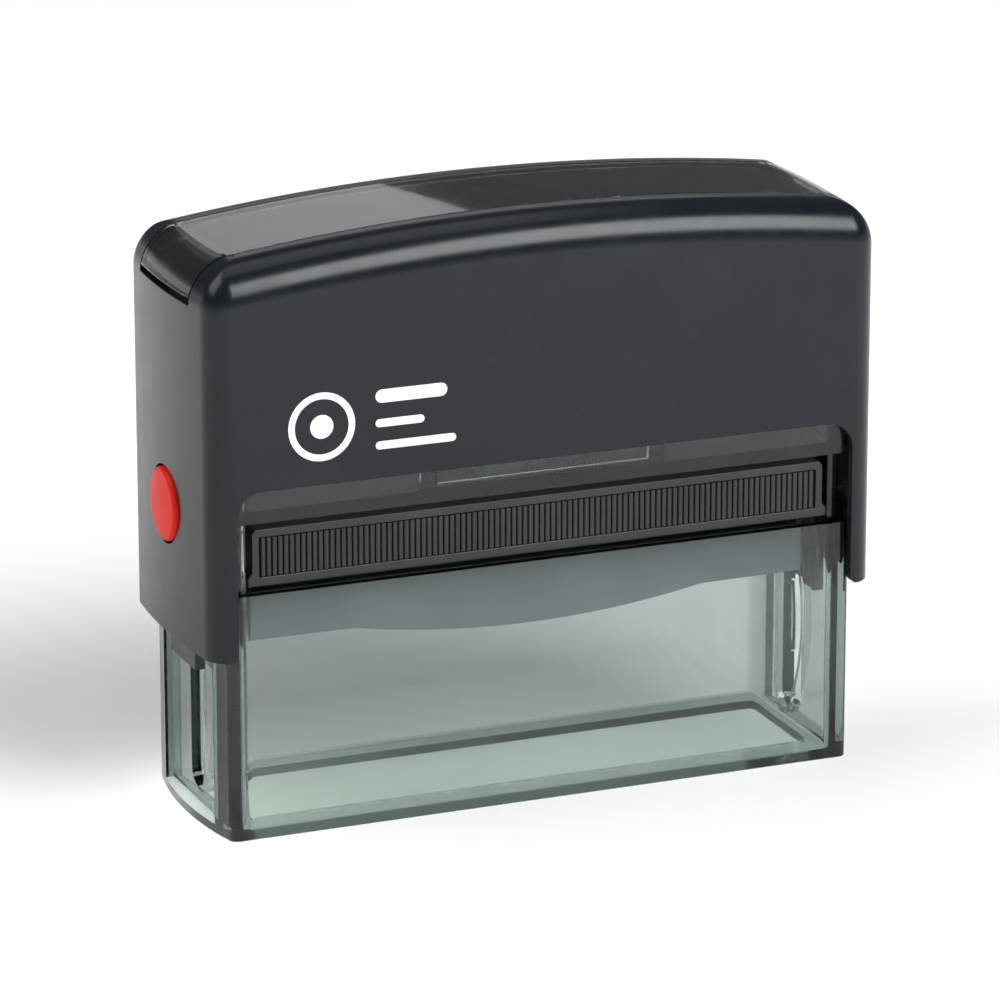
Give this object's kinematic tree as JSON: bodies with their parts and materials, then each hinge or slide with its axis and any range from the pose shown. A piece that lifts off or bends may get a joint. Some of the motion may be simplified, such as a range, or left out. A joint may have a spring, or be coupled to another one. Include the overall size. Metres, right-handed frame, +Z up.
{
  "type": "self_inking_stamp",
  "caption": "Desk self-inking stamp: a smoke-clear frame with an ink cartridge, and a black press-down cover that turns the die holder over onto the paper.",
  "frame": {"origin": "Middle of the base's underside, on the table.", "axes": "+X runs along the stamp's length, +Y is its back, +Z is up; the front faces -Y."},
  "size_m": [0.0978, 0.032, 0.0807],
  "materials": {
    "cover_black": "satin moulded black plastic",
    "frame_smoke": "smoke-tinted transparent plastic",
    "window_clear": "clear glossy plastic over a dark card",
    "card_black": "matte black card",
    "button_red": "satin red plastic",
    "cartridge_black": "black moulded plastic",
    "pad_felt": "ink-soaked felt",
    "holder_grey": "grey moulded plastic",
    "spring_steel": "plain spring steel",
    "bush_white": "natural acetal plastic",
    "cushion_foam": "foam rubber",
    "die_rubber": "red-brown stamp rubber"
  },
  "bodies": {
    "base": {"base_frame": "frame_smoke", "pad_cartridge": "cartridge_black", "ink_pad": "pad_felt", "spring_post": "bush_white", "return_spring": "spring_steel"},
    "press_cover": {"cover": "cover_black", "index_card": "card_black", "bridge": "cartridge_black", "axle_pin_left": "spring_steel", "axle_pin_right": "spring_steel", "axle_bush_left": "bush_white", "axle_bush_right": "bush_white"},
    "window": {"index_window": "window_clear"},
    "button_left": {"lock_button_left": "button_red"},
    "button_right": {"lock_button_right": "button_red"},
    "die_holder": {"platen": "holder_grey", "platen_cam_left": "bush_white", "platen_cam_right": "bush_white", "die_cushion": "cushion_foam", "text_die": "die_rubber"}
  },
  "joints": [
    {"name": "press_slide", "type": "slide", "parent": "base", "child": "press_cover", "axis": [0, 0, -1], "range_m": [0, 0.0175], "stiffness_N_per_m": 500, "springref_m": -0.012, "deforming": ["return_spring"]},
    {"name": "platen_flip", "type": "hinge", "parent": "press_cover", "child": "die_holder", "pos_m": [0, 0, 0.0258], "axis": [1, 0, 0], "range_deg": [0, 180.5]},
    {"name": "window_lift", "type": "slide", "parent": "press_cover", "child": "window", "axis": [0, 0, 1], "range_m": [0, 0.012]},
    {"name": "lock_button_left", "type": "slide", "parent": "press_cover", "child": "button_left", "axis": [1, 0, 0], "range_m": [0, 0.001], "stiffness_N_per_m": 600, "springref_m": -0.001},
    {"name": "lock_button_right", "type": "slide", "parent": "press_cover", "child": "button_right", "axis": [-1, 0, 0], "range_m": [0, 0.001], "stiffness_N_per_m": 600, "springref_m": -0.001}
  ],
  "couplings": [
    {"joint": "platen_flip", "follows": "press_slide", "rad_per_m": 179.51}
  ]
}
